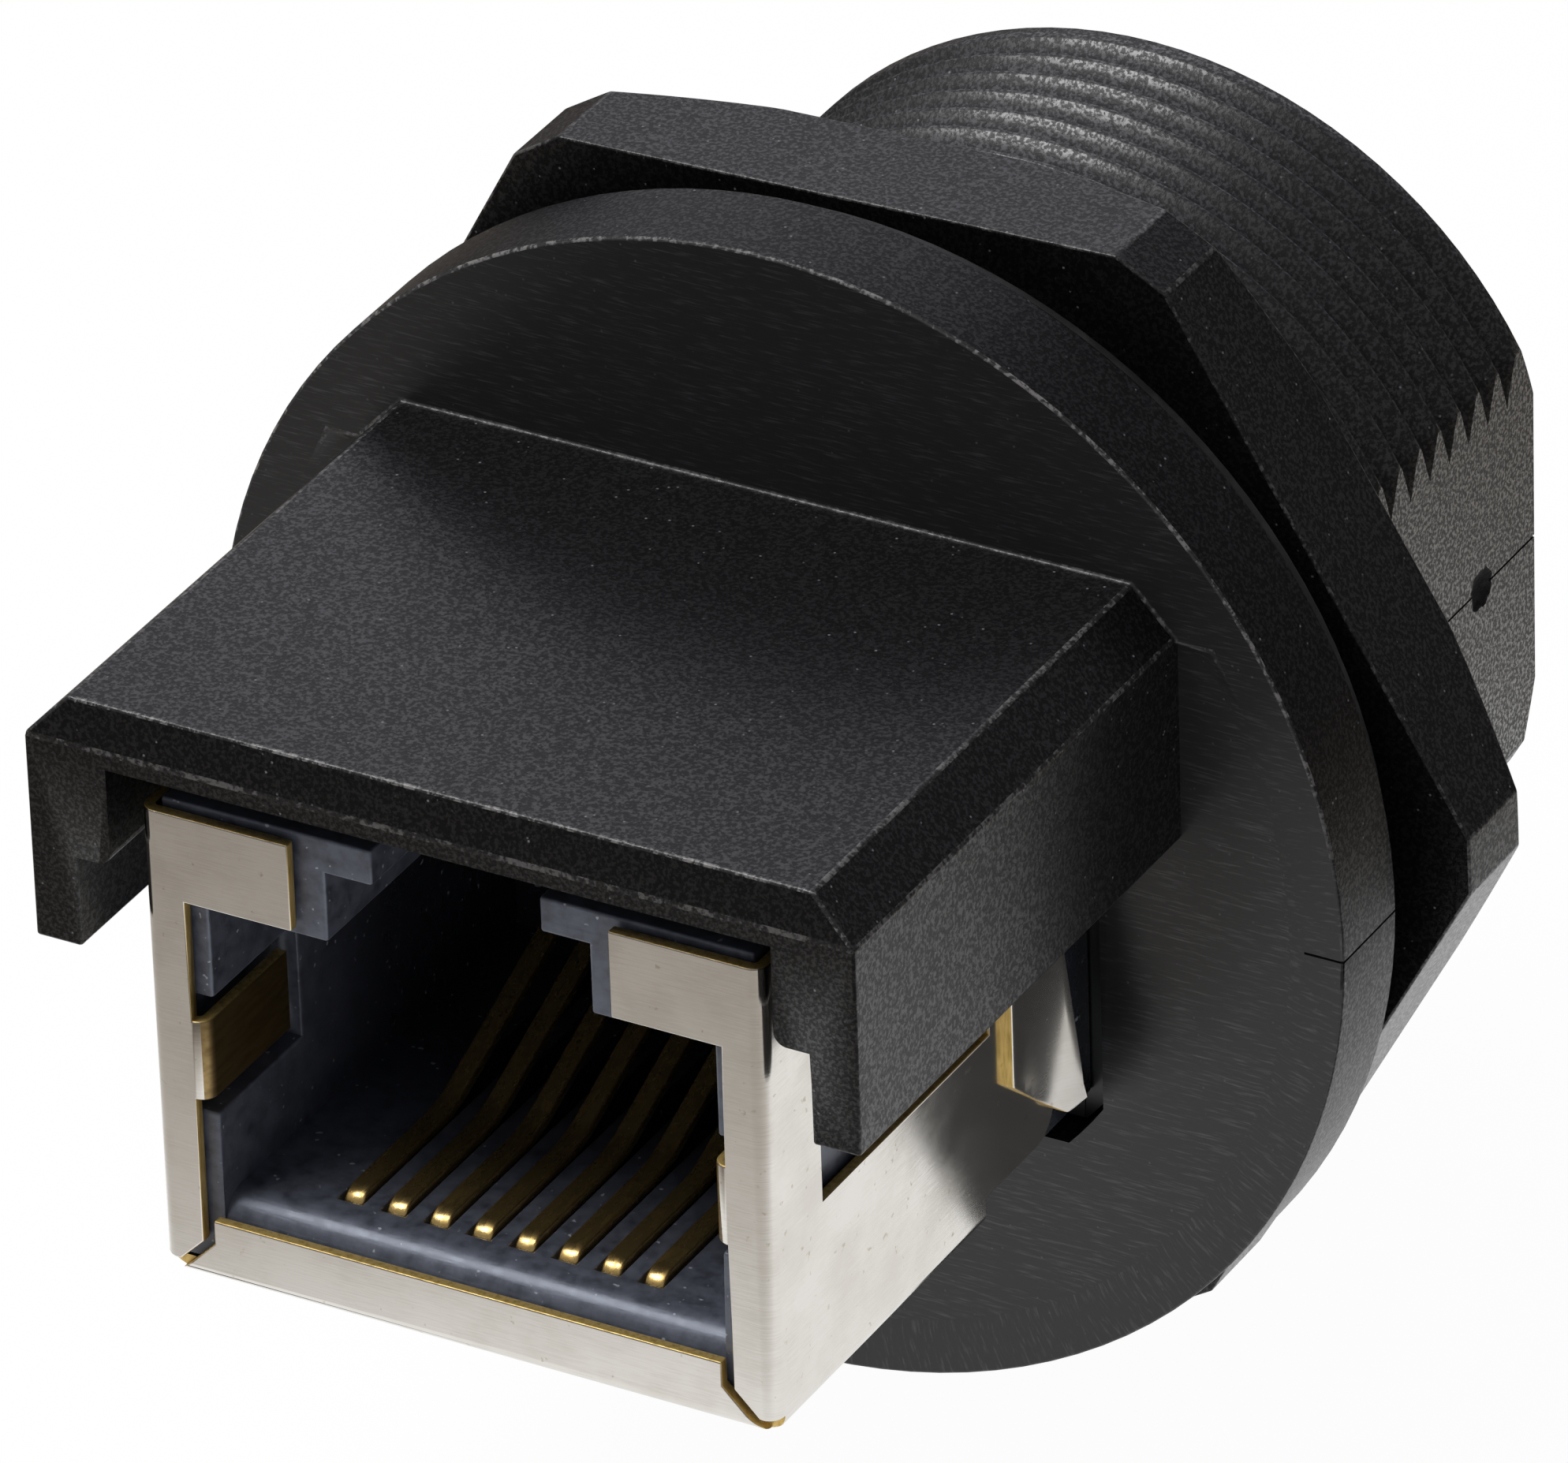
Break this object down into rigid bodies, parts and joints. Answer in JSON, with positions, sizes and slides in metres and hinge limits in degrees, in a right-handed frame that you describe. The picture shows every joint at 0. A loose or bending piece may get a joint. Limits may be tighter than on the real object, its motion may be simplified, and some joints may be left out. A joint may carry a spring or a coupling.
{
  "type": "panel feed-through modular jack coupler",
  "caption": "Round panel feed-through with a threaded barrel, flange, gasket and hex nut, holding shielded modular jacks back to back so that plugs join from either side.",
  "frame": {"origin": "on the barrel's axis in the flange's panel face", "axes": "+Y along the barrel, away from the hood; +Z towards the latch side of the front port; +X to the right as seen from the hooded front port"},
  "size_m": [0.0288, 0.0312, 0.027],
  "materials": {
    "body_plastic": "moulded charcoal black with a fine matte grain and worn edges",
    "nut_plastic": "moulded charcoal black, matte",
    "gasket_rubber": "smooth black rubber",
    "insert_plastic": "moulded dark bluish grey, satin",
    "shield_nickel": "satin nickel plate on brass sheet, bare brass on the cut edges",
    "contact_gold": "gold plate",
    "board_laminate": "black solder mask on glass laminate"
  },
  "bodies": {
    "housing": {"bulkhead_body": "body_plastic", "panel_gasket": "gasket_rubber", "coupler_board": "board_laminate", "front_insert": "insert_plastic", "front_shield": "shield_nickel", "rear_insert": "insert_plastic", "rear_shield": "shield_nickel", "front_contact_1": "contact_gold", "front_contact_2": "contact_gold", "front_contact_3": "contact_gold", "front_contact_4": "contact_gold", "front_contact_5": "contact_gold", "front_contact_6": "contact_gold", "front_contact_7": "contact_gold", "front_contact_8": "contact_gold", "rear_contact_1": "contact_gold", "rear_contact_2": "contact_gold", "rear_contact_3": "contact_gold", "rear_contact_4": "contact_gold", "rear_contact_5": "contact_gold", "rear_contact_6": "contact_gold", "rear_contact_7": "contact_gold", "rear_contact_8": "contact_gold"},
    "nut": {"panel_nut": "nut_plastic"}
  },
  "joints": [
    {"name": "nut_travel", "type": "slide", "parent": "housing", "child": "nut", "axis": [0, 1, 0], "range_m": [-0.00075, 0.01]}
  ]
}
